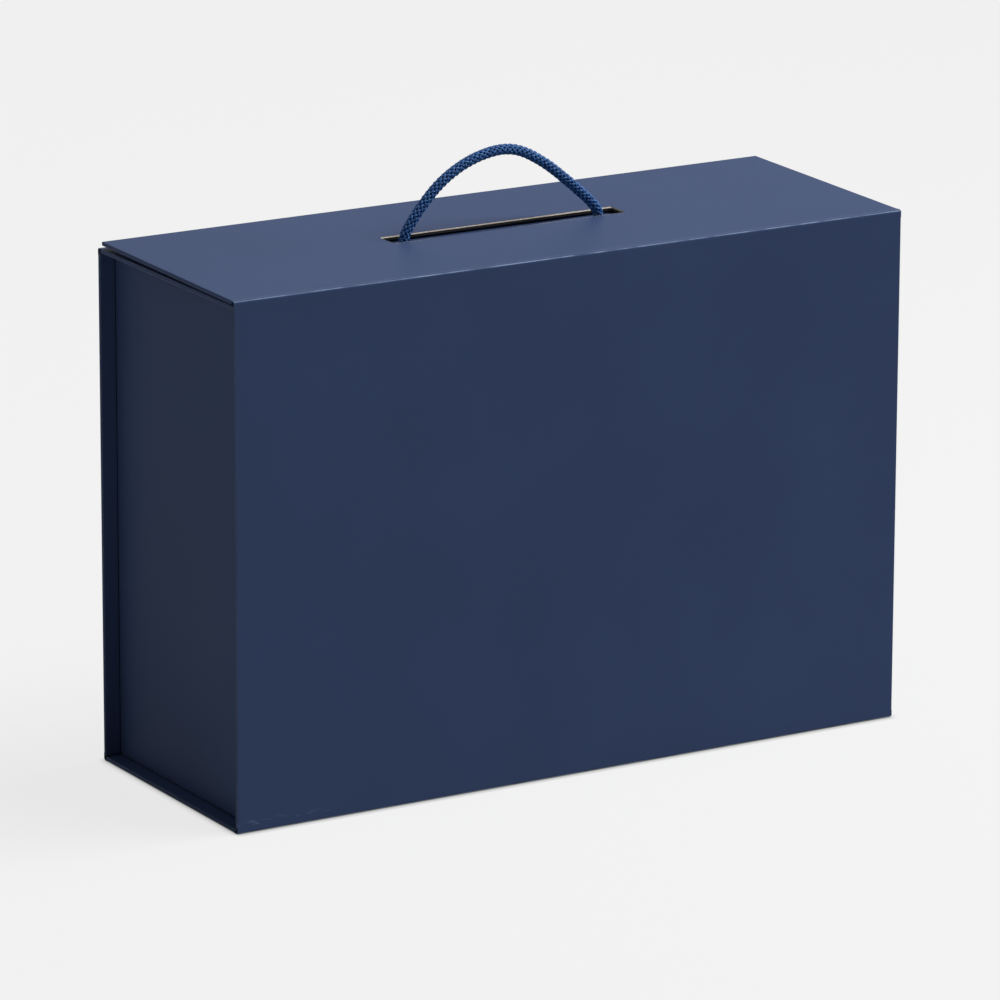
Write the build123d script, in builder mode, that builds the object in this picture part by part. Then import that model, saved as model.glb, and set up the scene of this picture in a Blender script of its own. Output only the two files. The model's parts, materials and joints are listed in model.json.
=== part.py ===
"""Folding storage box: five paper-wrapped boards round two folding side walls, with a rope handle.

Frame: X is the width, -Y the side of the lid, +Z up.
The origin is the middle of the face that the box stands on.
"""
import os
from math import atan, cos, degrees, hypot, pi, radians, sin, tan

from build123d import *

# Overall sizes
box_width = 330.0
box_depth = 120.0
box_height = 230.0

# Boards and papers
board_thick = 1.5
cover_thick = 0.15
lining_thick = 0.15
lining_margin = 12.0
panel_thick = cover_thick + board_thick + lining_thick

# Creases between the boards of the wrapped strip
crease_radius = 2.0
crease_thick = 0.3
crease_reach = 0.3
panel_inset = crease_radius + crease_reach

# Flap on top, its free edge lifted a little and short of the base
flap_gap = 0.3
flap_lift = 1.3
flap_short = 3.5
slot_length = 116.0
slot_width = 12.0
slot_corner = 1.0

# Side walls, set back from the ends of the strip
wall_recess = 7.0
wall_gap = 0.5
wall_axis_inset = 1.1
hinge_flange = 16.0
flange_thick = 0.3

# Glue tabs on the side walls and the tape on them
tab_width = 20.0
tab_thick = 0.8
tab_start = 24.0
tab_length = 80.0
tab_bevel = 12.0
tab_gap = 0.3
tape_thick = 0.2
tape_margin = 3.0

# Magnets in the flap and in the wall under it
magnet_diameter = 10.0
magnet_thick = 1.2
magnet_from_side = 55.0
magnet_from_free_edge = 15.0

# Rope handle
rope_diameter = 5.0
rope_spread = 97.0
rope_shift = -2.8
rope_y = -3.0
rope_hole = 6.0
knot_diameter = 10.4
swing_height = 3.5
swing_gap = 0.3
rope_bend_share = 0.45

# Places worked out from the sizes
half_width = box_width / 2
half_depth = box_depth / 2
inner_width = box_width - 2 * wall_recess
inner_depth = box_depth - 2 * panel_inset
handle_top = box_height - panel_thick - flap_gap
handle_bottom = handle_top - panel_thick
back_corner_z = handle_top - crease_radius
front_corner_z = box_height - crease_radius
corner_y = half_depth - crease_radius
flap_depth = box_depth - panel_inset - flap_short
flap_tilt = atan(flap_lift / flap_depth)
magnet_y = half_depth - flap_short - magnet_from_free_edge
magnet_spread = box_width - 2 * magnet_from_side
swing_z = box_height + swing_height

os.makedirs("parts", exist_ok=True)


def save(piece, name):
    """Label a finished piece and write it."""
    piece.part.label = name
    export_step(piece.part, f"parts/{name}.step")


def wrapped_panel(name, face, length, width, cut=None, pockets=None):
    """A board with its cover paper round it and its lining on the inner face.

    face is the middle of the outer face, with its normal pointing out of the box.
    cut is a sketch taken through all three, and pockets is one taken out of the board alone.
    """
    board_face = face.offset(-cover_thick)
    lining_face = face.offset(-cover_thick - board_thick)

    with BuildPart() as board:
        with BuildSketch(board_face):
            Rectangle(length - 2 * cover_thick, width - 2 * cover_thick)
        extrude(amount=-board_thick)
        if cut is not None:
            extrude(cut.sketch, amount=-panel_thick, mode=Mode.SUBTRACT)
        if pockets is not None:
            extrude(pockets.sketch, amount=magnet_thick, mode=Mode.SUBTRACT)
    save(board, f"{name}_board")

    with BuildPart() as lining:
        with BuildSketch(lining_face):
            Rectangle(length - 2 * lining_margin, width - 2 * lining_margin)
        extrude(amount=-lining_thick)
        if cut is not None:
            extrude(cut.sketch, amount=-panel_thick, mode=Mode.SUBTRACT)
    save(lining, f"{name}_lining")

    with BuildPart() as cover:
        with BuildSketch(face):
            Rectangle(length, width)
        extrude(amount=-panel_thick)
        with BuildSketch(board_face):
            Rectangle(length - 2 * cover_thick, width - 2 * cover_thick)
        extrude(amount=-board_thick, mode=Mode.SUBTRACT)
        with BuildSketch(lining_face):
            Rectangle(length - 2 * lining_margin, width - 2 * lining_margin)
        extrude(amount=-lining_thick, mode=Mode.SUBTRACT)
        if cut is not None:
            extrude(cut.sketch, amount=-panel_thick, mode=Mode.SUBTRACT)
    save(cover, f"{name}_cover")


def crease(name, corner, joins_x, joins_y):
    """The rounded strip of paper round one corner of the strip of boards.

    corner is a plane at the arc's centre, with its two axes pointing out of the box.
    """
    with BuildPart() as strip:
        with BuildSketch(corner):
            Circle(crease_radius)
            Circle(crease_radius - crease_thick, mode=Mode.SUBTRACT)
            Rectangle(
                crease_radius, crease_radius, align=(Align.MIN, Align.MIN), mode=Mode.INTERSECT
            )
            if joins_x:
                with Locations((-crease_reach, crease_radius)):
                    Rectangle(crease_reach, crease_thick, align=(Align.MIN, Align.MAX))
            if joins_y:
                with Locations((crease_radius, -crease_reach)):
                    Rectangle(crease_thick, crease_reach, align=(Align.MAX, Align.MIN))
        extrude(amount=box_width)
    save(strip, name)


# Flap: the outermost board on top, tilted about the crease that it hangs on
flap_hinge_plane = Plane(
    origin=(0, -corner_y, front_corner_z), x_dir=(1, 0, 0), z_dir=(0, -sin(flap_tilt), cos(flap_tilt))
)
flap_middle = crease_reach + flap_depth / 2
flap_face = Plane(
    flap_hinge_plane.from_local_coords(Vector(0, flap_middle, crease_radius)),
    x_dir=flap_hinge_plane.x_dir,
    z_dir=flap_hinge_plane.z_dir,
)
flap_lining_face = flap_face.offset(-cover_thick - board_thick)
slot_offset = corner_y - flap_middle
with BuildSketch(flap_face) as flap_slot:
    with Locations((0, slot_offset)):
        RectangleRounded(slot_length, slot_width, slot_corner)
with BuildSketch(flap_lining_face) as flap_pockets:
    with Locations((0, slot_offset + magnet_y)):
        with GridLocations(magnet_spread, 0, 2, 1):
            Circle(magnet_diameter / 2)
wrapped_panel("flap", flap_face, box_width, flap_depth, flap_slot, flap_pockets)

# Lid: the big board on the side of the viewer
lid_height = box_height - 2 * panel_inset
lid_face = Plane(origin=(0, -half_depth, box_height / 2), x_dir=(1, 0, 0), z_dir=(0, -1, 0))
wrapped_panel("lid", lid_face, box_width, lid_height)

# Spine: the board that the box stands on
spine_face = Plane(origin=(0, 0, 0), x_dir=(1, 0, 0), z_dir=(0, 0, -1))
wrapped_panel("spine", spine_face, box_width, inner_depth)

# Base: the board at the back
base_low = panel_inset
base_high = handle_top - panel_inset
base_face = Plane(
    origin=(0, half_depth, (base_low + base_high) / 2), x_dir=(-1, 0, 0), z_dir=(0, 1, 0)
)
wrapped_panel("base", base_face, box_width, base_high - base_low)

# Handle wall: the board under the flap, which carries the rope
handle_face = Plane(origin=(0, 0, handle_top), x_dir=(1, 0, 0), z_dir=(0, 0, 1))
handle_lining_face = handle_face.offset(-cover_thick - board_thick)
with BuildSketch(handle_face) as rope_holes:
    with Locations((rope_shift, rope_y)):
        with GridLocations(rope_spread, 0, 2, 1):
            Circle(rope_hole / 2)
with BuildSketch(handle_lining_face) as handle_pockets:
    with Locations((0, magnet_y)):
        with GridLocations(magnet_spread, 0, 2, 1):
            Circle(magnet_diameter / 2)
wrapped_panel("handle_wall", handle_face, box_width, inner_depth, rope_holes, handle_pockets)

# Creases: lid to flap, spine to lid, spine to base and base to handle wall
crease(
    "flap_crease",
    Plane(origin=(half_width, -corner_y, front_corner_z), x_dir=(0, -1, 0), z_dir=(-1, 0, 0)),
    joins_x=False,
    joins_y=True,
)
crease(
    "lid_crease",
    Plane(origin=(-half_width, -corner_y, crease_radius), x_dir=(0, -1, 0), z_dir=(1, 0, 0)),
    joins_x=True,
    joins_y=False,
)
crease(
    "base_crease",
    Plane(origin=(half_width, corner_y, crease_radius), x_dir=(0, 1, 0), z_dir=(-1, 0, 0)),
    joins_x=True,
    joins_y=True,
)
crease(
    "handle_wall_crease",
    Plane(origin=(-half_width, corner_y, back_corner_z), x_dir=(0, 1, 0), z_dir=(1, 0, 0)),
    joins_x=True,
    joins_y=True,
)

# Side walls, hinged on the base, with a paper flange and two glue tabs each
wall_low = panel_thick + wall_gap
wall_high = handle_bottom - wall_gap
wall_depth = box_depth - 2 * (panel_thick + wall_gap)
wall_height = wall_high - wall_low
wall_middle_z = (wall_low + wall_high) / 2
wall_inner_x = inner_width / 2 - panel_thick
wall_axis_y = wall_depth / 2 - wall_axis_inset
flange_y = half_depth - panel_thick - flange_thick
tab_root_x = wall_inner_x - tab_gap
tab_high = handle_bottom - tab_gap - tape_thick
tab_low = panel_thick + tab_gap + tape_thick
tab_near_y = wall_axis_y - tab_start
tab_middle_y = tab_near_y - tab_length / 2

for side, sign in (("left", -1), ("right", 1)):
    wall_face = Plane(
        origin=(sign * inner_width / 2, 0, wall_middle_z), x_dir=(0, sign, 0), z_dir=(sign, 0, 0)
    )
    wrapped_panel(f"{side}_wall", wall_face, wall_depth, wall_height)

    with BuildPart() as flange:
        with BuildSketch(Plane.XY.offset(wall_low)):
            with Locations((sign * (inner_width / 2 - hinge_flange / 2), flange_y)):
                Rectangle(hinge_flange, flange_thick, align=(Align.CENTER, Align.MIN))
        extrude(amount=wall_height)
    save(flange, f"{side}_wall_hinge")

    for end, tab_z, outward in (("top", tab_high, 1), ("bottom", tab_low, -1)):
        tab_tip_x = tab_root_x - tab_width
        with BuildPart() as tab:
            with BuildSketch(Plane.XY.offset(tab_z)):
                with BuildLine():
                    Polyline(
                        (sign * tab_root_x, tab_near_y),
                        (sign * tab_tip_x, tab_near_y - tab_bevel),
                        (sign * tab_tip_x, tab_near_y - tab_length + tab_bevel),
                        (sign * tab_root_x, tab_near_y - tab_length),
                        close=True,
                    )
                make_face()
            extrude(amount=-outward * tab_thick, dir=(0, 0, 1))
        save(tab, f"{side}_{end}_tab")

        with BuildPart() as tape:
            with BuildSketch(Plane.XY.offset(tab_z)):
                with Locations((sign * (tab_root_x - tab_width / 2), tab_middle_y)):
                    Rectangle(tab_width - 2 * tape_margin, tab_length - 2 * tab_bevel)
            extrude(amount=outward * tape_thick, dir=(0, 0, 1))
        save(tape, f"{side}_{end}_tape")

# Magnets, sunk into the boards of the flap and of the handle wall
for side, sign in (("left", -1), ("right", 1)):
    magnet_x = sign * magnet_spread / 2
    with BuildPart() as flap_magnet:
        with BuildSketch(flap_lining_face):
            with Locations((magnet_x, slot_offset + magnet_y)):
                Circle(magnet_diameter / 2)
        extrude(amount=magnet_thick)
    save(flap_magnet, f"{side}_flap_magnet")

    with BuildPart() as handle_magnet:
        with BuildSketch(handle_lining_face):
            with Locations((magnet_x, magnet_y)):
                Circle(magnet_diameter / 2)
        extrude(amount=magnet_thick)
    save(handle_magnet, f"{side}_handle_wall_magnet")

# Rope: a knot and a leg on each side, and the loop that swings above the slot
rope_radius = rope_diameter / 2
rope_x = rope_spread / 2
knot_radius = knot_diameter / 2
knot_z = handle_bottom - knot_radius
leg_top = swing_z - rope_radius - swing_gap

for side, sign in (("left", -1), ("right", 1)):
    leg_x = rope_shift + sign * rope_x
    with BuildPart() as knot:
        with Locations((leg_x, rope_y, knot_z)):
            Sphere(knot_radius)
    save(knot, f"{side}_rope_knot")

    with BuildPart() as leg:
        with BuildSketch(Plane.XY.offset(knot_z)):
            with Locations((leg_x, rope_y)):
                Circle(rope_radius)
        extrude(amount=leg_top - knot_z)
        with Locations((leg_x, rope_y, knot_z)):
            Sphere(knot_radius, mode=Mode.SUBTRACT)
    save(leg, f"{side}_rope_leg")

# Route of the loop: X from the middle between the holes, and Z, in the plane of the rope
loop_points = [
    (-rope_x, swing_z),
    (-40.6, 243.8),
    (-29.1, 255.3),
    (-13.1, 263.3),
    (4.7, 265.5),
    (20.3, 257.5),
    (34.9, 245.6),
    (rope_x, swing_z),
]


def bend_radii(points):
    """Radius of each bend, and the length of the tube's middle line."""
    radii = []
    length = 0.0
    used = 0.0
    for before, here, after in zip(points, points[1:], points[2:]):
        run_in = (here[0] - before[0], here[1] - before[1])
        run_out = (after[0] - here[0], after[1] - here[1])
        shorter = min(hypot(*run_in), hypot(*run_out))
        cross = run_in[0] * run_out[1] - run_in[1] * run_out[0]
        along = run_in[0] * run_out[0] + run_in[1] * run_out[1]
        turn = abs(Vector(along, cross).get_signed_angle(Vector(1, 0)))
        radius = rope_bend_share * shorter / tan(radians(turn) / 2)
        radii.append(radius)
        used += 2 * rope_bend_share * shorter
        length += radius * radians(turn)
    runs = sum(hypot(b[0] - a[0], b[1] - a[1]) for a, b in zip(points, points[1:]))
    return radii, length + runs - used


loop_radii, loop_length = bend_radii(loop_points)
rope_plane = Plane(origin=(rope_shift, rope_y, 0), x_dir=(1, 0, 0), z_dir=(0, -1, 0))
with BuildPart() as rope_loop:
    with BuildLine(rope_plane) as loop_path:
        FilletPolyline(*loop_points, radius=loop_radii)
    with BuildSketch(Plane(origin=loop_path.line @ 0, z_dir=loop_path.line % 0)):
        Circle(rope_radius)
    sweep(path=loop_path.line)
    tube_volume = rope_loop.part.volume
    with Locations((rope_shift - rope_x, rope_y, swing_z), (rope_shift + rope_x, rope_y, swing_z)):
        Sphere(rope_radius)
save(rope_loop, "rope_loop")

print("rope bend radii", [round(radius, 1) for radius in loop_radii])
print("rope loop length", round(loop_length, 1))
print("tube volume", round(tube_volume, 1), "section times length",
      round(pi * rope_radius ** 2 * loop_length, 1))
print("flap tilt in degrees", round(degrees(flap_tilt), 3))
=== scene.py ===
import json
from math import asin, cos, hypot, pi, radians, sin

import bpy
from mathutils import Matrix, Vector, kdtree


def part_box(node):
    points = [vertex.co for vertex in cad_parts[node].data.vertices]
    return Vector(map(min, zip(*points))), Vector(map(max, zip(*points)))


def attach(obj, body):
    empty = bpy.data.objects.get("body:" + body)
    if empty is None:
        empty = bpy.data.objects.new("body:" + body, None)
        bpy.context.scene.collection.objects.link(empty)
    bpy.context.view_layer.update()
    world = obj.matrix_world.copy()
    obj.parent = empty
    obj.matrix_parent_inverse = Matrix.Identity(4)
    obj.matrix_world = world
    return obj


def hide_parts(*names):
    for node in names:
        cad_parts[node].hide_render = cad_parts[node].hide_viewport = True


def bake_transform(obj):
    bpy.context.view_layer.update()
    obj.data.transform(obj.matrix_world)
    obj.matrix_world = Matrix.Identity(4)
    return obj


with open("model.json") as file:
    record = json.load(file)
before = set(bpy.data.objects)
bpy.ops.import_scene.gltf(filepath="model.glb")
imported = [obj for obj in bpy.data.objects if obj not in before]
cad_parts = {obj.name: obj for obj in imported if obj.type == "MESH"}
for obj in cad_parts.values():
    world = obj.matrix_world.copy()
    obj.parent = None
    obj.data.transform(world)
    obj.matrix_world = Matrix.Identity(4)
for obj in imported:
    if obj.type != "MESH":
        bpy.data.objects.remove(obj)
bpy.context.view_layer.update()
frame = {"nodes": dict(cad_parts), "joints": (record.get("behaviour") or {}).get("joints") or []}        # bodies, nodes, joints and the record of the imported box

# Camera
# A long lens, to the left of the box and a little above it, so that the edges that
# run away from it hardly draw together.
camera_place = (-1.5141, -2.5260, 0.9285)
camera_turn = radians(30.915)
camera_dip = radians(15.567)
camera_roll = radians(0.20)
camera_lens = 253.8
camera_data = bpy.data.cameras.new("camera")
camera_data.lens = camera_lens
camera = bpy.data.objects.new("camera", camera_data)
bpy.context.collection.objects.link(camera)
camera.matrix_world = (
    Matrix.Translation(camera_place)
    @ Matrix.Rotation(-camera_turn, 4, "Z")
    @ Matrix.Rotation(pi / 2 - camera_dip, 4, "X")
    @ Matrix.Rotation(camera_roll, 4, "Z")
)
bpy.context.scene.camera = camera
bpy.context.scene.view_settings.view_transform = "Standard"


# Rope handle
# A braided cord of twelve strands round a soft core. It comes up through two holes in
# the wall under the flap and stands in a loop above the slot, held by its own stiffness.
rope_y = -0.003
rope_spread = 0.097
rope_shift = -0.0028
strands_each_way = 6
strand_radius = 0.00058
strand_circle = 0.00166
strand_weave = 0.00022
braid_pitch = 0.0150
strand_step = 0.00028
strand_roundness = 1
core_radius = 0.00150
core_roundness = 3
route_fineness = 40
rope_points = [
    (-0.0513, rope_y, 0.2220),
    (-0.0515, rope_y, 0.2290),
    (-0.0508, rope_y, 0.2337),
    (-0.0434, rope_y, 0.2438),
    (-0.0319, rope_y, 0.2553),
    (-0.0159, rope_y, 0.2633),
    (0.0019, rope_y, 0.2655),
    (0.0175, rope_y, 0.2575),
    (0.0321, rope_y, 0.2456),
    (0.0450, rope_y, 0.2340),
    (0.0459, rope_y, 0.2290),
    (0.0457, rope_y, 0.2220),
]


def deselect_all():
    """Nothing stays selected or active for the next operator."""
    if bpy.context.object and bpy.context.object.mode != "OBJECT":
        bpy.ops.object.mode_set(mode="OBJECT")
    bpy.ops.object.select_all(action="DESELECT")


def pick(piece):
    """Selects one object and makes it active."""
    deselect_all()
    piece.select_set(True)
    bpy.context.view_layer.objects.active = piece


def settle(piece):
    """Puts the object's place into its mesh."""
    pick(piece)
    bpy.ops.object.transform_apply(location=True, rotation=True, scale=True)


def add_node(tree, kind, **settings):
    """Adds a node with its settings."""
    made = tree.nodes.new(kind)
    for key, value in settings.items():
        setattr(made, key, value)
    return made


def new_material(name, colour, roughness):
    """A material with a Principled shader; returns both."""
    material = bpy.data.materials.new(name)
    material.use_nodes = True
    shader = material.node_tree.nodes["Principled BSDF"]
    shader.inputs["Base Color"].default_value = (*colour, 1)
    shader.inputs["Roughness"].default_value = roughness
    return material, shader


def mixed_colour(tree, factor, dark, light):
    """A colour that goes from dark to light with a factor; returns its output."""
    mix = add_node(tree, "ShaderNodeMix", data_type="RGBA")
    mix.inputs["A"].default_value = (*dark, 1)
    mix.inputs["B"].default_value = (*light, 1)
    tree.links.new(factor, mix.inputs["Factor"])
    return mix.outputs["Result"]


def noise(tree, scale, detail, stretch=(1, 1, 1)):
    """Noise on object coordinates, in metres; returns its value."""
    place = add_node(tree, "ShaderNodeTexCoord")
    turn = add_node(tree, "ShaderNodeMapping")
    turn.inputs["Scale"].default_value = stretch
    grain = add_node(tree, "ShaderNodeTexNoise")
    grain.inputs["Scale"].default_value = scale
    grain.inputs["Detail"].default_value = detail
    tree.links.new(place.outputs["Object"], turn.inputs["Vector"])
    tree.links.new(turn.outputs["Vector"], grain.inputs["Vector"])
    return grain.outputs["Fac"]


def between(tree, value, low, high):
    """A value mapped smoothly from low and high to 0 and 1."""
    ramp = add_node(tree, "ShaderNodeMapRange", interpolation_type="SMOOTHSTEP")
    ramp.inputs["From Min"].default_value = low
    ramp.inputs["From Max"].default_value = high
    tree.links.new(value, ramp.inputs["Value"])
    return ramp.outputs["Result"]


def bumped(tree, shader, height, distance, strength):
    """Gives the shader a bump from a height, so many metres deep."""
    bump = add_node(tree, "ShaderNodeBump")
    bump.inputs["Distance"].default_value = distance
    bump.inputs["Strength"].default_value = strength
    tree.links.new(height, bump.inputs["Height"])
    tree.links.new(bump.outputs["Normal"], shader.inputs["Normal"])


# A grain is a noise's scale and detail, and its stretch where it has one. A bump is its
# depth in metres and its strength. Limits are the values that count as none and as all.
# The yarn's colour falls to a near-black navy where it lies deep towards the middle of its
# cord. This is painted shade between the strands and where a knot's turns cross.
yarn_painted_shade = (0.002, 0.009, 0.036)
yarn_deep = (0.009, 0.060, 0.230)
yarn_pale = (0.065, 0.215, 0.500)
yarn_rough = 0.5
yarn_gloss = 0.25
yarn_fuzz = (1500, 3)
yarn_fuzz_limits = (0.40, 0.68)
yarn_shade_limits = (0.30, 0.85)
yarn_grain = (5200, 2)
yarn_bump = (0.00012, 0.8)
rope_yarn, yarn_shader = new_material("rope_yarn", yarn_deep, yarn_rough)
yarn_tree = rope_yarn.node_tree
yarn_tint = between(yarn_tree, noise(yarn_tree, *yarn_fuzz), *yarn_fuzz_limits)
# Painted shade: the stored crown height mixes in the near-black yarn colour.
yarn_stands = add_node(yarn_tree, "ShaderNodeAttribute", attribute_name="crown")
yarn_shade_mix = add_node(yarn_tree, "ShaderNodeMix", data_type="RGBA")
yarn_shade_mix.inputs["A"].default_value = (*yarn_painted_shade, 1)
yarn_tree.links.new(
    mixed_colour(yarn_tree, yarn_tint, yarn_deep, yarn_pale),
    yarn_shade_mix.inputs["B"],
)
yarn_tree.links.new(
    between(yarn_tree, yarn_stands.outputs["Fac"], *yarn_shade_limits),
    yarn_shade_mix.inputs["Factor"],
)
yarn_tree.links.new(yarn_shade_mix.outputs["Result"], yarn_shader.inputs["Base Color"])
bumped(yarn_tree, yarn_shader, noise(yarn_tree, *yarn_grain), *yarn_bump)
yarn_shader.inputs["Specular IOR Level"].default_value = yarn_gloss

# The core is part of the cord, but its near-black navy is painted shade for the gaps
# between the strands.
core_painted_shade = (0.004, 0.018, 0.070)
core_rough = 0.9
core_grain = (2600, 2)
core_bump = (0.0001, 0.6)
rope_core, core_shader = new_material("rope_core", core_painted_shade, core_rough)
core_tree = rope_core.node_tree
bumped(core_tree, core_shader, noise(core_tree, *core_grain), *core_bump)


def tube(name, runs, radius, roundness, closed=False):
    """A mesh tube along each run of points, as one object."""
    wire = bpy.data.curves.new(name, "CURVE")
    wire.dimensions = "3D"
    wire.bevel_depth = radius
    wire.bevel_resolution = roundness
    wire.use_fill_caps = not closed
    for run in runs:
        line = wire.splines.new("POLY")
        line.points.add(len(run) - 1)
        for point, place in zip(line.points, run):
            point.co = (*place, 1)
        line.use_cyclic_u = closed
        line.use_smooth = True
    piece = bpy.data.objects.new(name, wire)
    bpy.context.collection.objects.link(piece)
    pick(piece)
    bpy.ops.object.convert(target="MESH")
    bpy.ops.object.shade_smooth()
    return bpy.context.object


route = bpy.data.curves.new("rope_route", "CURVE")
route.dimensions = "3D"
route.resolution_u = route_fineness
route_line = route.splines.new("NURBS")
route_line.points.add(len(rope_points) - 1)
for point, place in zip(route_line.points, rope_points):
    point.co = (*place, 1)
route_line.order_u = 3
route_line.use_endpoint_u = True
route_piece = bpy.data.objects.new("rope_route", route)
bpy.context.collection.objects.link(route_piece)
bpy.context.view_layer.update()
route_mesh = bpy.data.meshes.new_from_object(route_piece)
route_run = [tuple(vertex.co) for vertex in route_mesh.vertices]
bpy.data.objects.remove(route_piece)
bpy.data.meshes.remove(route_mesh)

rope_path = [route_run[0]]
travelled = [0.0]
left_over = 0.0
for here, after in zip(route_run, route_run[1:]):
    span = hypot(after[0] - here[0], after[2] - here[2])
    along = strand_step - left_over
    while along <= span and span > 0:
        share = along / span
        rope_path.append(tuple(a + (b - a) * share for a, b in zip(here, after)))
        travelled.append(travelled[-1] + strand_step)
        along += strand_step
    left_over = span - (along - strand_step)


def strand(number, way):
    """One strand: a helix round the rope's line that goes over and under the others."""
    run = []
    for index, (middle, gone) in enumerate(zip(rope_path, travelled)):
        before = rope_path[max(index - 1, 0)]
        after = rope_path[min(index + 1, len(rope_path) - 1)]
        reach = hypot(after[0] - before[0], after[2] - before[2])
        across = ((after[2] - before[2]) / reach, -(after[0] - before[0]) / reach)
        turn = 2 * pi * gone / braid_pitch
        angle = way * turn + 2 * pi * number / strands_each_way
        out = strand_circle + way * strand_weave * cos(strands_each_way * turn)
        run.append((
            middle[0] + out * cos(angle) * across[0],
            middle[1] + out * sin(angle),
            middle[2] + out * cos(angle) * across[1],
        ))
    return run


def store_crown(piece, middles, low, high):
    """Stores how far each point stands out from the middle of its cord, from 0 to 1, which
    sets the yarn's painted shade.
    """
    nearest = kdtree.KDTree(len(middles))
    for number, place in enumerate(middles):
        nearest.insert(place, number)
    nearest.balance()
    crown = piece.data.attributes.new("crown", "FLOAT", "POINT")
    for vertex in piece.data.vertices:
        crown.data[vertex.index].value = (nearest.find(vertex.co)[2] - low) / (high - low)


strands = [strand(n, way) for way in (1, -1) for n in range(strands_each_way)]
rope = tube("rope_handle", strands, strand_radius, strand_roundness)
rope.data.materials.append(rope_yarn)
store_crown(rope, rope_path, core_radius, strand_circle + strand_weave + strand_radius)
core_run = rope_path[::4] + [rope_path[-1]]
core = tube("rope_handle_core", [core_run], core_radius, core_roundness)
core.data.materials.append(rope_core)
pick(core)
rope.select_set(True)
bpy.context.view_layer.objects.active = rope
bpy.ops.object.join()
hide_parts("rope_loop", "left_rope_leg", "right_rope_leg")


# Knots in the rope's ends
# Each end is tied in a tight knot inside the box, which is too big for its hole. Its
# line is a trefoil, closed in itself, since both loose ends are hidden in it.
knot_scale = 0.00122
knot_tall = 1.6
knot_tube = 0.0019
knot_roundness = 4
knot_steps = 120
knot_crown = 0.72
knot_z = (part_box("left_rope_knot")[0][2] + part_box("left_rope_knot")[1][2]) / 2
for side, sign in (("left", -1), ("right", 1)):
    knot_x = rope_shift + sign * rope_spread / 2
    knot_run = []
    for step in range(knot_steps):
        turn = 2 * pi * step / knot_steps
        knot_run.append((
            knot_x + knot_scale * (sin(turn) + 2 * sin(2 * turn)),
            rope_y + knot_scale * (cos(turn) - 2 * cos(2 * turn)),
            knot_z - knot_tall * knot_scale * sin(3 * turn),
        ))
    knot = tube(f"{side}_knot", [knot_run], knot_tube, knot_roundness, closed=True)
    knot.data.materials.append(rope_yarn)
    # The knot's turns get painted shade from the same height, deepest where they cross.
    store_crown(knot, knot_run, 0, knot_tube / knot_crown)
    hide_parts(f"{side}_rope_knot")
    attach(knot, "tray")

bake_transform(rope)


# Spine, the board that the box stands on
# Grey board wrapped in navy paper. The paper is turned in round the edges and a lining
# sheet covers its rim on the inner face, as on every board of the box.
paper_dark = (0.0385, 0.0615, 0.1350)
paper_light = (0.0415, 0.0665, 0.1450)
# Colour of the painted highlight along the creases.
paper_painted_highlight = (0.200, 0.270, 0.420)
paper_rough = 0.5
paper_gloss = 0.035
paper_cloud = (14, 3)
paper_cloud_limits = (0.25, 0.75)
paper_grain = (1500, 3)
paper_bump = (0.00006, 0.35)
lining_dark = (0.0096, 0.0144, 0.0336)
lining_light = (0.0104, 0.0156, 0.0364)
lining_rough = 0.6
board_grey = (0.88, 0.80, 0.68)
board_dark = (0.50, 0.43, 0.34)
board_rough = 0.9
board_fibre = (700, 4, (1, 1, 6))
board_fibre_limits = (0.3, 0.7)
board_grain = (2500, 3, (1, 1, 4))
board_bump = (0.0002, 0.8)
edge_round = 0.0005
edge_steps = 3
bend_angle = radians(35)
flat_normal = 0.999
panel_area = 0.001
lining_rim = 0.0119
lining_sink = 0.00017

# The paper's face mixes in a second colour by an amount: real scuffs on the lid, and a
# painted highlight on the creases.
paper_face = bpy.data.node_groups.new("paper_face", "ShaderNodeTree")
for socket_name, way, kind in (
    ("Dark", "INPUT", "NodeSocketColor"),
    ("Light", "INPUT", "NodeSocketColor"),
    ("Rubbed", "INPUT", "NodeSocketColor"),
    ("Rub", "INPUT", "NodeSocketFloat"),
    ("Colour", "OUTPUT", "NodeSocketColor"),
    ("Grain", "OUTPUT", "NodeSocketFloat"),
):
    paper_face.interface.new_socket(name=socket_name, in_out=way, socket_type=kind)
face_in = add_node(paper_face, "NodeGroupInput")
face_out = add_node(paper_face, "NodeGroupOutput")
face_cloud = add_node(paper_face, "ShaderNodeMix", data_type="RGBA")
face_scuff_and_highlight = add_node(paper_face, "ShaderNodeMix", data_type="RGBA")
face_clouds = between(paper_face, noise(paper_face, *paper_cloud), *paper_cloud_limits)
for start, end in (
    (face_clouds, face_cloud.inputs["Factor"]),
    (face_in.outputs["Dark"], face_cloud.inputs["A"]),
    (face_in.outputs["Light"], face_cloud.inputs["B"]),
    (face_in.outputs["Rub"], face_scuff_and_highlight.inputs["Factor"]),
    (face_cloud.outputs["Result"], face_scuff_and_highlight.inputs["A"]),
    (face_in.outputs["Rubbed"], face_scuff_and_highlight.inputs["B"]),
    (face_scuff_and_highlight.outputs["Result"], face_out.inputs["Colour"]),
    (noise(paper_face, *paper_grain), face_out.inputs["Grain"]),
):
    paper_face.links.new(start, end)


def paper_material(name, dark, light, roughness):
    """Matt paper with a fine even grain and a faint cloudiness; returns its face too."""
    material, shader = new_material(name, dark, roughness)
    tree = material.node_tree
    face = add_node(tree, "ShaderNodeGroup", node_tree=paper_face)
    face.inputs["Dark"].default_value = (*dark, 1)
    face.inputs["Light"].default_value = (*light, 1)
    face.inputs["Rubbed"].default_value = (*paper_painted_highlight, 1)
    tree.links.new(face.outputs["Colour"], shader.inputs["Base Color"])
    bumped(tree, shader, face.outputs["Grain"], *paper_bump)
    shader.inputs["Specular IOR Level"].default_value = paper_gloss
    return material, face


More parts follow.
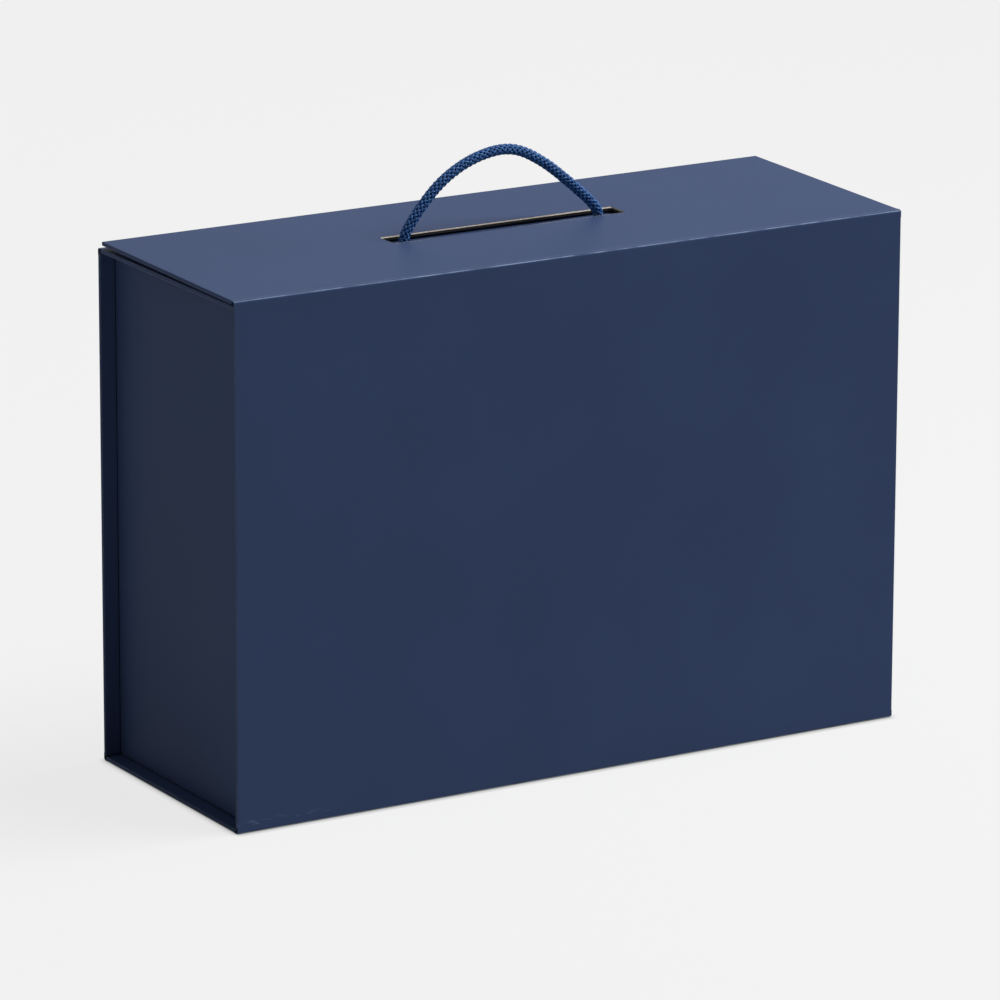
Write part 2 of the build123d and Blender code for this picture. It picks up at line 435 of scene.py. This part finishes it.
cover_paper = paper_material("cover_paper", paper_dark, paper_light, paper_rough)[0]
lining_paper = paper_material("lining_paper", lining_dark, lining_light, lining_rough)[0]

greyboard, greyboard_shader = new_material("greyboard", board_grey, board_rough)
board_tree = greyboard.node_tree
board_tint = between(board_tree, noise(board_tree, *board_fibre), *board_fibre_limits)
board_tree.links.new(
    mixed_colour(board_tree, board_tint, board_dark, board_grey),
    greyboard_shader.inputs["Base Color"],
)
bumped(board_tree, greyboard_shader, noise(board_tree, *board_grain), *board_bump)


def finish(node, material):
    """A new finish for a piece that keeps its own shape."""
    piece = frame["nodes"][node]
    if piece.material_slots:
        piece.material_slots[0].material = material
    else:
        piece.data.materials.append(material)


def choose_faces(piece, wanted):
    """Selects the faces that a test picks, in edit mode."""
    pick(piece)
    bpy.ops.object.mode_set(mode="EDIT")
    bpy.ops.mesh.select_mode(type="FACE")
    bpy.ops.mesh.select_all(action="DESELECT")
    bpy.ops.object.mode_set(mode="OBJECT")
    for face in piece.data.polygons:
        face.select = bool(wanted(face))
    bpy.ops.object.mode_set(mode="EDIT")


def smooth_bends(piece):
    """Shades the bends smooth and keeps the flat faces flat right up to them."""
    choose_faces(piece, lambda face: max(abs(part) for part in face.normal) > flat_normal)
    bpy.ops.mesh.region_to_loop()
    bpy.ops.mesh.mark_sharp()
    bpy.ops.object.mode_set(mode="OBJECT")
    bpy.ops.object.shade_smooth_by_angle(angle=bend_angle, keep_sharp_edges=True)


def wrapped_board(node, inward, low=None, high=None):
    """A board in its paper: rounded edges, and a rim round the sunk place of the lining.

    inward is the axis (0, 1 or 2) and the sign of the way to the inside of the box.
    """
    axis, sign = inward
    if low is None:
        low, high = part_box(f"{node}_cover")
    middle = [(a + b) / 2 for a, b in zip(low, high)]
    extent = [b - a for a, b in zip(low, high)]
    deselect_all()
    bpy.ops.mesh.primitive_cube_add(size=1, location=middle, scale=extent)
    piece = bpy.context.object
    piece.name = f"{node}_paper"
    piece.data.name = piece.name
    settle(piece)
    bpy.ops.object.mode_set(mode="EDIT")
    bpy.ops.mesh.select_all(action="SELECT")
    bpy.ops.mesh.bevel(offset=edge_round, segments=edge_steps, affect="EDGES")
    choose_faces(
        piece,
        lambda face: face.normal[axis] * sign > flat_normal and face.area > panel_area,
    )
    bpy.ops.mesh.inset(thickness=lining_rim - edge_round)
    sink = [0.0, 0.0, 0.0]
    sink[axis] = -sign * lining_sink
    bpy.ops.mesh.extrude_region_move(TRANSFORM_OT_translate={"value": sink})
    smooth_bends(piece)
    piece.data.materials.append(cover_paper)
    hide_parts(f"{node}_cover")
    finish(f"{node}_board", greyboard)
    finish(f"{node}_lining", lining_paper)
    return piece


spine = wrapped_board("spine", (2, 1))
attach(spine, "tray")


# Base, the board at the back
# The side walls are hinged on it and fold down onto it when the box is stored flat.
base = wrapped_board("base", (1, -1))
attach(base, "tray")


# Wall under the flap, which carries the rope
# It has two punched holes, and a magnet sunk into the board near each end.
hole_radius = 0.00305
hole_sides = 48
punch_depth = 0.01
handle_wall = wrapped_board("handle_wall", (2, -1))
wall_low, wall_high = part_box("handle_wall_cover")


def cut_away(piece, cutter):
    """Takes a cutter's shape out of a piece."""
    pick(piece)
    cut = piece.modifiers.new("cut", "BOOLEAN")
    cut.operation = "DIFFERENCE"
    cut.solver = "EXACT"
    cut.object = cutter
    bpy.ops.object.modifier_apply(modifier=cut.name)
    bpy.data.objects.remove(cutter)


hole_z = (wall_low[2] + wall_high[2]) / 2
for sign in (-1, 1):
    hole_x = rope_shift + sign * rope_spread / 2
    deselect_all()
    bpy.ops.mesh.primitive_cylinder_add(
        vertices=hole_sides,
        radius=hole_radius,
        depth=punch_depth,
        location=(hole_x, rope_y, hole_z),
    )
    hole_punch = bpy.context.object
    settle(hole_punch)
    cut_away(handle_wall, hole_punch)
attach(handle_wall, "tray")


# Lid, the big board towards the viewer
# It swings down on the crease along the spine, and the flap hangs on its upper edge. Its
# paper has a few small light scuffs near the lower left corner.
scuff_pale = (0.110, 0.150, 0.240)
scuff_low = 0.003
scuff_high = 0.0062
scuff_left = -0.150
scuff_right = -0.105
scuff_grain = (700, 2, (0.25, 1, 1))
scuff_grain_limits = (0.50, 0.66)
lid = wrapped_board("lid", (1, 1))
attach(lid, "lid")


def multiplied(tree, first, second):
    """Two values multiplied."""
    product = add_node(tree, "ShaderNodeMath", operation="MULTIPLY")
    tree.links.new(first, product.inputs[0])
    tree.links.new(second, product.inputs[1])
    return product.outputs[0]


def parts_of(tree, output):
    """The x, y and z of the place or the normal on a piece."""
    place = add_node(tree, "ShaderNodeTexCoord")
    parts = add_node(tree, "ShaderNodeSeparateXYZ")
    tree.links.new(place.outputs[output], parts.inputs["Vector"])
    return parts.outputs


lid_paper, lid_face = paper_material("lid_paper", paper_dark, paper_light, paper_rough)
lid_face.inputs["Rubbed"].default_value = (*scuff_pale, 1)
lid_tree = lid_paper.node_tree
lid_place = parts_of(lid_tree, "Object")
scuff_corner = multiplied(
    lid_tree,
    between(lid_tree, lid_place["Z"], scuff_high, scuff_low),
    between(lid_tree, lid_place["X"], scuff_right, scuff_left),
)
scuff_specks = between(lid_tree, noise(lid_tree, *scuff_grain), *scuff_grain_limits)
lid_tree.links.new(multiplied(lid_tree, scuff_corner, scuff_specks), lid_face.inputs["Rub"])
lid.material_slots[0].material = lid_paper


# Flap, the board on top with the slot for the rope
# It lies loosely on the wall below, its free edge a little lifted. The slot is die-cut
# through the finished board, so the raw grey board shows in its edge.
flap_top = 0.002
flap_bottom = 0.0002
flap_near = 0.0003
slot_length = 0.116
slot_width = 0.012
slot_corner = 0.001
slot_corner_steps = 5
slot_clear = 0.00006


def joint_place(name):
    """The place that a joint turns about."""
    return [joint["pos_m"] for joint in frame["joints"] if joint["name"] == name][0]


flap_low, flap_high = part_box("flap_cover")
flap_axis = joint_place("flap_hinge")
flap_far = hypot(flap_high[1] - flap_axis[1], flap_high[2] - flap_axis[2] - flap_top)
flap_tilt = asin((flap_high[2] - flap_axis[2] - flap_top) / flap_far)
flap = wrapped_board(
    "flap",
    (2, -1),
    (flap_low[0], flap_axis[1] + flap_near, flap_axis[2] + flap_bottom),
    (flap_high[0], flap_axis[1] + flap_far, flap_axis[2] + flap_top),
)


def slot_outline(name, length, width, depth, clear):
    """A block with rounded corners, the shape of the slot."""
    deselect_all()
    bpy.ops.mesh.primitive_cube_add(
        size=1,
        location=(0, 0, flap_axis[2] + (flap_top + flap_bottom) / 2),
        scale=(length + 2 * clear, width + 2 * clear, depth),
    )
    block = bpy.context.object
    block.name = name
    settle(block)
    bpy.ops.object.mode_set(mode="EDIT")
    bpy.ops.mesh.select_mode(type="EDGE")
    bpy.ops.mesh.select_all(action="DESELECT")
    bpy.ops.object.mode_set(mode="OBJECT")
    for edge in block.data.edges:
        ends = [block.data.vertices[i].co for i in edge.vertices]
        edge.select = abs(ends[0].z - ends[1].z) > depth / 2
    bpy.ops.object.mode_set(mode="EDIT")
    bpy.ops.mesh.bevel(offset=slot_corner, segments=slot_corner_steps, affect="EDGES")
    bpy.ops.object.mode_set(mode="OBJECT")
    return block


cut_away(flap, slot_outline("slot_punch", slot_length, slot_width, punch_depth, slot_clear))


def tilt_flap(piece):
    """Turns a piece that was made level to the flap's slight lift, about its crease."""
    lift = Matrix.Translation(flap_axis) @ Matrix.Rotation(flap_tilt, 4, "X")
    piece.data.transform(lift @ Matrix.Translation([-a for a in flap_axis]))


tilt_flap(flap)
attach(flap, "flap")


# Raw edge of the slot
# A pale ring of torn fibres at the upper rim of the cut. Below it the wall of the cut has a
# near-black colour, which is painted shade inside the slot.
ring_wall = 0.0003
ring_tall = 0.0005
ring_drop = 0.00004
ring_lean = 0.0002
ring_cuts = 5
fibre_size = 0.0012
fibre_detail = 3
fibre_reach = 0.00028
fibre_middle = 0.5
# Near-black colour of the cut's wall below the ring: painted shade inside the slot.
slot_shade_dark = (0.012, 0.011, 0.013)
slot_shade_rough = 0.8
slot_shade_grain = (1800, 3)
slot_shade_bump = (0.0001, 0.6)
level_normal = 0.9
ring_rise = (flap_top - flap_bottom - ring_tall) / 2 - ring_drop
raw_edge = slot_outline("slot_raw_edge", slot_length, slot_width, ring_tall, -slot_clear)
raw_edge.data.transform(Matrix.Translation((0, 0, ring_rise)))
choose_faces(raw_edge, lambda face: face.normal.z < -level_normal)
bpy.ops.transform.resize(
    value=(1 - 2 * ring_lean / slot_length, 1 - 2 * ring_lean / slot_width, 1)
)
choose_faces(raw_edge, lambda face: abs(face.normal.z) > level_normal)
bpy.ops.mesh.delete(type="FACE")
bpy.ops.mesh.select_all(action="SELECT")
bpy.ops.mesh.flip_normals()
bpy.ops.mesh.subdivide(number_cuts=ring_cuts)
bpy.ops.object.mode_set(mode="OBJECT")
fibre_noise = bpy.data.textures.new("fibre_noise", "CLOUDS")
fibre_noise.noise_scale = fibre_size
fibre_noise.noise_depth = fibre_detail
thick = raw_edge.modifiers.new("thick", "SOLIDIFY")
thick.thickness = ring_wall
thick.offset = -1
fibres = raw_edge.modifiers.new("fibres", "DISPLACE")
fibres.texture = fibre_noise
fibres.strength = fibre_reach
fibres.mid_level = fibre_middle
pick(raw_edge)
bpy.ops.object.modifier_apply(modifier="thick")
bpy.ops.object.modifier_apply(modifier="fibres")
raw_edge.data.materials.append(greyboard)
# Painted shade: the flap's board, seen only inside the slot, takes the near-black colour.
pressed_board, slot_shade_shader = new_material("pressed_board", slot_shade_dark, slot_shade_rough)
slot_shade_tree = pressed_board.node_tree
bumped(slot_shade_tree, slot_shade_shader, noise(slot_shade_tree, *slot_shade_grain), *slot_shade_bump)
finish("flap_board", pressed_board)
tilt_flap(raw_edge)
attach(raw_edge, "flap")


# Creases, where the wrapping paper turns round from board to board
# The paper alone bridges each corner, so it is rounder and softer than a board's edge. It
# is a little glossier, and a paler colour in patches along the middle of each bend is a
# painted highlight.
crease_rough = 0.42
# A paler colour along the middle of each bend, broken into patches, is a painted highlight.
crease_highlight_limits = (0.38, 0.49)
crease_highlight_patch = (110, 4)
crease_highlight_patch_limits = (0.20, 0.70)
crease_paper, crease_face = paper_material(
    "crease_paper", paper_dark, paper_light, crease_rough
)
crease_tree = crease_paper.node_tree
crease_way = parts_of(crease_tree, "Normal")
crease_turn = add_node(crease_tree, "ShaderNodeMath", operation="ABSOLUTE")
crease_tree.links.new(
    multiplied(crease_tree, crease_way["Y"], crease_way["Z"]), crease_turn.inputs[0]
)
crease_highlight_band = between(crease_tree, crease_turn.outputs[0], *crease_highlight_limits)
crease_highlight_patches = between(
    crease_tree, noise(crease_tree, *crease_highlight_patch), *crease_highlight_patch_limits
)
crease_tree.links.new(
    multiplied(crease_tree, crease_highlight_band, crease_highlight_patches), crease_face.inputs["Rub"]
)
crease_outer = 0.00202
crease_inner = 0.0017
crease_lap = 0.0012
crease_square = 0.0010
crease_steps = 10
merge_within = 0.000001
strip_end = 0.0001
width_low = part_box("lid_cover")[0][0] + strip_end
width_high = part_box("lid_cover")[1][0] - strip_end


def crease_strip(name, centre, way_y, way_z):
    """A strip of paper bent square round a corner, lapped on both boards, box-wide."""
    strip_y = centre[1] - way_y * crease_lap
    strip_z = centre[2] + way_z * (crease_outer + crease_inner) / 2
    deselect_all()
    bpy.ops.mesh.primitive_plane_add(size=1, location=(0, strip_y, strip_z))
    strip = bpy.context.object
    strip.name = name
    strip.data.name = name
    strip.rotation_euler = (pi / 2, 0, 0)
    strip.scale = (width_high - width_low, crease_outer - crease_inner, 1)
    settle(strip)
    bpy.ops.object.mode_set(mode="EDIT")
    bpy.ops.mesh.select_all(action="SELECT")
    bpy.ops.mesh.extrude_region_move(
        TRANSFORM_OT_translate={"value": (0, way_y * (crease_lap + crease_square), 0)}
    )
    bpy.ops.mesh.spin(
        steps=crease_steps,
        angle=way_y * way_z * pi / 2,
        center=(0, centre[1] + way_y * crease_square, centre[2] + way_z * crease_square),
        axis=(1, 0, 0),
    )
    bpy.ops.mesh.extrude_region_move(
        TRANSFORM_OT_translate={"value": (0, 0, -way_z * (crease_lap + crease_square))}
    )
    bpy.ops.mesh.select_all(action="SELECT")
    bpy.ops.mesh.remove_doubles(threshold=merge_within)
    bpy.ops.mesh.delete_loose()
    bpy.ops.mesh.select_all(action="SELECT")
    bpy.ops.mesh.normals_make_consistent(inside=False)
    smooth_bends(strip)
    strip.data.materials.append(crease_paper)
    return strip


corner_y = -flap_axis[1]
foot_z = joint_place("lid_hinge")[2]
back_z = wall_high[2] - foot_z

flap_crease = crease_strip("flap_crease_paper", (0, -corner_y, flap_axis[2]), -1, 1)
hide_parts("flap_crease")
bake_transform(flap_crease)

lid_crease = crease_strip("lid_crease_paper", (0, -corner_y, foot_z), -1, -1)
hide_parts("lid_crease")
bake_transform(lid_crease)

base_crease = crease_strip("base_crease_paper", (0, corner_y, foot_z), 1, -1)
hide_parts("base_crease")
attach(base_crease, "tray")

handle_crease = crease_strip("handle_wall_crease_paper", (0, corner_y, back_z), 1, 1)
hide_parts("handle_wall_crease")
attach(handle_crease, "tray")


# Side walls, their paper hinges, glue tabs and tape
# Each wall stands a little inside the ends of the other boards. A paper flange holds it
# on the base, and a tab at its top and bottom is taped to the boards above and below.
tape_white = (0.62, 0.60, 0.55)
tape_rough = 0.35
tape_grain = (300, 2)
tape_bump = (0.00005, 0.5)
tape_paper, tape_shader = new_material("tape_paper", tape_white, tape_rough)
tape_tree = tape_paper.node_tree
bumped(tape_tree, tape_shader, noise(tape_tree, *tape_grain), *tape_bump)
for side, sign in (("left", -1), ("right", 1)):
    wall = wrapped_board(f"{side}_wall", (0, -sign))
    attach(wall, f"{side}_wall")
    finish(f"{side}_wall_hinge", lining_paper)
    for end in ("top", "bottom"):
        finish(f"{side}_{end}_tab", cover_paper)
        finish(f"{side}_{end}_tape", tape_paper)


# Magnets
# Plated discs in pockets of the flap's board and of the wall below it, under the paper.
# Each pair holds the flap shut.
magnet_bright = (0.60, 0.60, 0.58)
magnet_rough = 0.3
magnet_grain = (1200, 2)
magnet_bump = (0.00003, 0.4)
magnet_plate, magnet_shader = new_material("magnet_plate", magnet_bright, magnet_rough)
magnet_shader.inputs["Metallic"].default_value = 1.0
magnet_tree = magnet_plate.node_tree
bumped(magnet_tree, magnet_shader, noise(magnet_tree, *magnet_grain), *magnet_bump)
for side in ("left", "right"):
    finish(f"{side}_flap_magnet", magnet_plate)
    finish(f"{side}_handle_wall_magnet", magnet_plate)


# Floor and light
# A pale studio floor with a painted contact shadow at the box's foot, a bright even room,
# a soft sun and a large lamp from the right.
floor_size = 30
floor_drop = 0.0002
floor_pale = (0.54, 0.54, 0.54)
floor_rough = 0.95
floor_seen = 0.885
floor_shadow_share = 0.11
floor_lit = 0.87
room_strength = 0.17
sun_strength = 2.3
sun_softness = radians(40)
sun_from = (0.48, -0.20, 0.85)
lamp_power = 9.5
lamp_size = 0.6
lamp_place = (0.95, -0.35, 1.15)
# Painted contact shadow on the floor along the box's foot: its reach, colour and samples.
contact_shadow_reach = 0.004
contact_shadow_dark = (0.05, 0.05, 0.045)
contact_shadow_samples = 8


def plain_sight(tree):
    """One for what the lens or a reflection sees, nought for the light on the object."""
    ray = add_node(tree, "ShaderNodeLightPath")
    lens = add_node(tree, "ShaderNodeMath", operation="MAXIMUM")
    tree.links.new(ray.outputs["Is Camera Ray"], lens.inputs[0])
    tree.links.new(ray.outputs["Is Glossy Ray"], lens.inputs[1])
    seen = add_node(tree, "ShaderNodeMath", operation="MAXIMUM")
    tree.links.new(lens.outputs[0], seen.inputs[0])
    tree.links.new(ray.outputs["Is Transmission Ray"], seen.inputs[1])
    return seen.outputs[0]


deselect_all()
bpy.ops.mesh.primitive_plane_add(size=floor_size, location=(0, 0, -floor_drop))
floor = bpy.context.object
floor.name = "floor"
settle(floor)
floor_paint, floor_shader = new_material("floor_paint", floor_pale, floor_rough)
floor_shader.inputs["Specular IOR Level"].default_value = 0.0
floor_tree = floor_paint.node_tree
seen_shadow = add_node(floor_tree, "ShaderNodeBsdfDiffuse")
seen_shadow.inputs["Color"].default_value = (floor_lit, floor_lit, floor_lit, 1)
seen_glow = add_node(floor_tree, "ShaderNodeEmission")
# Painted contact shadow: next to the box the floor's seen colour darkens with ambient
# occlusion.
contact_shadow = add_node(floor_tree, "ShaderNodeAmbientOcclusion", samples=contact_shadow_samples)
contact_shadow.inputs["Distance"].default_value = contact_shadow_reach
floor_tree.links.new(
    mixed_colour(floor_tree, contact_shadow.outputs["AO"], contact_shadow_dark, (floor_seen,) * 3),
    seen_glow.inputs["Color"],
)
seen_mix = add_node(floor_tree, "ShaderNodeMixShader")
seen_mix.inputs["Fac"].default_value = floor_shadow_share
floor_tree.links.new(seen_glow.outputs["Emission"], seen_mix.inputs[1])
floor_tree.links.new(seen_shadow.outputs["BSDF"], seen_mix.inputs[2])
floor_mix = add_node(floor_tree, "ShaderNodeMixShader")
floor_tree.links.new(plain_sight(floor_tree), floor_mix.inputs["Fac"])
floor_tree.links.new(floor_shader.outputs["BSDF"], floor_mix.inputs[1])
floor_tree.links.new(seen_mix.outputs["Shader"], floor_mix.inputs[2])
floor_tree.links.new(
    floor_mix.outputs["Shader"], floor_tree.nodes["Material Output"].inputs["Surface"]
)
floor.data.materials.append(floor_paint)

sun_data = bpy.data.lights.new("soft_sun", "SUN")
sun_data.energy = sun_strength
sun_data.angle = sun_softness
sun = bpy.data.objects.new("soft_sun", sun_data)
bpy.context.collection.objects.link(sun)
sun.rotation_euler = Vector(sun_from).to_track_quat("Z", "Y").to_euler()

lamp_data = bpy.data.lights.new("side_lamp", "AREA")
lamp_data.energy = lamp_power
lamp_data.size = lamp_size
lamp = bpy.data.objects.new("side_lamp", lamp_data)
bpy.context.collection.objects.link(lamp)
lamp.location = lamp_place
lamp.rotation_euler = Vector(lamp_place).to_track_quat("Z", "Y").to_euler()

world = bpy.data.worlds.new("room")
bpy.context.scene.world = world
world.use_nodes = True
room_tree = world.node_tree
room_light = room_tree.nodes["Background"]
room_light.inputs["Color"].default_value = (1, 1, 1, 1)
room_level = add_node(room_tree, "ShaderNodeMapRange")
room_level.inputs["To Min"].default_value = room_strength
room_level.inputs["To Max"].default_value = floor_seen
room_tree.links.new(plain_sight(room_tree), room_level.inputs["Value"])
room_tree.links.new(room_level.outputs["Result"], room_light.inputs["Strength"])
